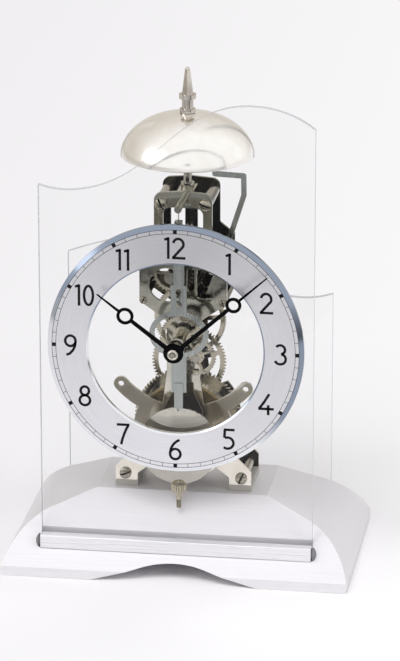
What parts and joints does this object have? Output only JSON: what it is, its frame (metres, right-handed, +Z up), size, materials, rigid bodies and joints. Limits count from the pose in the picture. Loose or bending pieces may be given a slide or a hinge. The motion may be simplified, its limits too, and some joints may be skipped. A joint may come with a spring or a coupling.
{
  "type": "desk pendulum clock",
  "caption": "Desk clock with an open mechanical movement, bell and pendulum between wavy glass panes on a bowed base, with a ring dial on the front pane.",
  "frame": {"origin": "middle of the base's underside", "axes": "+Z up, -Y towards the front with the dial, +X to the right seen from the front"},
  "size_m": [0.2088, 0.1298, 0.3029],
  "materials": {
    "base_paint": "sprayed satin silver",
    "pane_glass": "polished clear sheet",
    "bar_aluminium": "satin anodised",
    "cap_plastic": "moulded satin grey",
    "dial_aluminium": "brushed, bright bevels",
    "plate_nickel": "nickel plated, brushed",
    "foot_block_plastic": "moulded light grey",
    "screw_steel": "bright turned steel",
    "bell_nickel": "polished nickel plate",
    "wheel_brass": "nickel plated",
    "arbor_steel": "drawn steel",
    "hand_paint": "black lacquer"
  },
  "bodies": {
    "stand": {"base_block": "base_paint", "front_glass": "pane_glass", "rear_glass": "pane_glass", "front_bar": "bar_aluminium", "rear_bar": "bar_aluminium", "bar_end_caps": "cap_plastic", "dial_ring": "dial_aluminium", "glass_bush": "screw_steel", "foot_blocks": "foot_block_plastic", "front_plate": "plate_nickel", "back_plate": "plate_nickel", "foot_pillars": "plate_nickel", "mid_pillars": "plate_nickel", "top_pillars": "plate_nickel", "pillar_screws": "screw_steel", "mid_screws": "screw_steel", "base_screws": "screw_steel", "bell_bridge": "plate_nickel", "bridge_screw": "screw_steel", "suspension_stud": "screw_steel", "bell_post": "screw_steel", "bell": "bell_nickel", "finial": "bell_nickel", "minute_stud": "screw_steel", "click_screw": "screw_steel"},
    "going_barrel": {"barrel": "plate_nickel", "barrel_cover": "plate_nickel", "mainspring": "arbor_steel"},
    "winding": {"winding_arbor": "arbor_steel", "ratchet_wheel": "wheel_brass"},
    "click": {"click": "arbor_steel"},
    "second": {"second_arbor": "arbor_steel", "second_wheel": "wheel_brass"},
    "centre": {"centre_arbor": "arbor_steel", "centre_wheel": "wheel_brass", "lifting_cam": "wheel_brass", "cannon_pinion": "wheel_brass", "minute_hand": "hand_paint", "hand_nut": "bell_nickel"},
    "hour": {"hour_wheel": "wheel_brass", "hour_hand": "hand_paint"},
    "minute": {"minute_wheel": "wheel_brass"},
    "third": {"third_arbor": "arbor_steel", "third_wheel": "wheel_brass"},
    "escape": {"escape_arbor": "arbor_steel", "escape_wheel": "wheel_brass"},
    "verge": {"verge_arbor": "arbor_steel", "anchor": "arbor_steel", "crutch": "arbor_steel"},
    "pendulum": {"suspension_spring": "arbor_steel", "pendulum_rod": "arbor_steel", "bob_hanger": "arbor_steel"},
    "bob": {"bob": "wheel_brass"},
    "rating_nut": {"rating_nut": "wheel_brass"},
    "hammer": {"hammer_arbor": "arbor_steel", "hammer_arm": "arbor_steel", "hammer_head": "wheel_brass"}
  },
  "joints": [
    {"name": "minute_hand_turn", "type": "hinge", "parent": "stand", "child": "centre", "pos_m": [0, -0.0225, 0.14385], "axis": [0, 1, 0], "continuous": true},
    {"name": "hour_hand_turn", "type": "hinge", "parent": "stand", "child": "hour", "pos_m": [0, -0.0285, 0.14385], "axis": [0, 1, 0], "continuous": true},
    {"name": "minute_wheel_turn", "type": "hinge", "parent": "stand", "child": "minute", "pos_m": [0.00815, -0.0255, 0.13055], "axis": [0, 1, 0], "continuous": true},
    {"name": "second_turn", "type": "hinge", "parent": "stand", "child": "second", "pos_m": [0, -0.004, 0.1185], "axis": [0, 1, 0], "continuous": true},
    {"name": "barrel_turn", "type": "hinge", "parent": "stand", "child": "going_barrel", "pos_m": [0, -0.008, 0.0825], "axis": [0, 1, 0], "continuous": true},
    {"name": "third_turn", "type": "hinge", "parent": "stand", "child": "third", "pos_m": [0.00518, -0.004, 0.16655], "axis": [0, 1, 0], "continuous": true},
    {"name": "escape_turn", "type": "hinge", "parent": "stand", "child": "escape", "pos_m": [-0.008, -0.0115, 0.178], "axis": [0, 1, 0], "continuous": true},
    {"name": "winding_turn", "type": "hinge", "parent": "stand", "child": "winding", "pos_m": [0, 0.016, 0.0825], "axis": [0, 1, 0], "continuous": true},
    {"name": "click_turn", "type": "hinge", "parent": "stand", "child": "click", "pos_m": [0.016, 0.0153, 0.0945], "axis": [0, 1, 0], "range_deg": [-14, 0]},
    {"name": "pendulum_swing", "type": "hinge", "parent": "stand", "child": "pendulum", "pos_m": [0, -0.039, 0.223], "axis": [0, 1, 0], "range_deg": [-3, 3]},
    {"name": "verge_swing", "type": "hinge", "parent": "stand", "child": "verge", "pos_m": [0, -0.0115, 0.203], "axis": [0, 1, 0], "range_deg": [-5, 5]},
    {"name": "bob_slide", "type": "slide", "parent": "pendulum", "child": "bob", "axis": [0, 0, 1], "range_m": [-0.001, 0.001]},
    {"name": "rating_nut_turn", "type": "hinge", "parent": "bob", "child": "rating_nut", "pos_m": [0, -0.04, 0.0505], "axis": [0, 0, 1], "range_deg": [-722, 722]},
    {"name": "hammer_swing", "type": "hinge", "parent": "stand", "child": "hammer", "pos_m": [0.022, -0.003, 0.1885], "axis": [0, 1, 0], "range_deg": [-8, 3.5], "stiffness_Nm_per_rad": 0.03, "springref_deg": -0.69}
  ],
  "couplings": [
    {"joint": "hour_hand_turn", "follows": "minute_hand_turn", "ratio": 0.083333},
    {"joint": "minute_wheel_turn", "follows": "minute_hand_turn", "ratio": -0.33333},
    {"joint": "second_turn", "follows": "minute_hand_turn", "ratio": -0.14706},
    {"joint": "barrel_turn", "follows": "minute_hand_turn", "ratio": 0.0171},
    {"joint": "third_turn", "follows": "minute_hand_turn", "ratio": -12.857},
    {"joint": "escape_turn", "follows": "minute_hand_turn", "ratio": 165.31},
    {"joint": "verge_swing", "follows": "pendulum_swing", "ratio": 1.625},
    {"joint": "rating_nut_turn", "follows": "bob_slide", "rad_per_m": 12566}
  ]
}
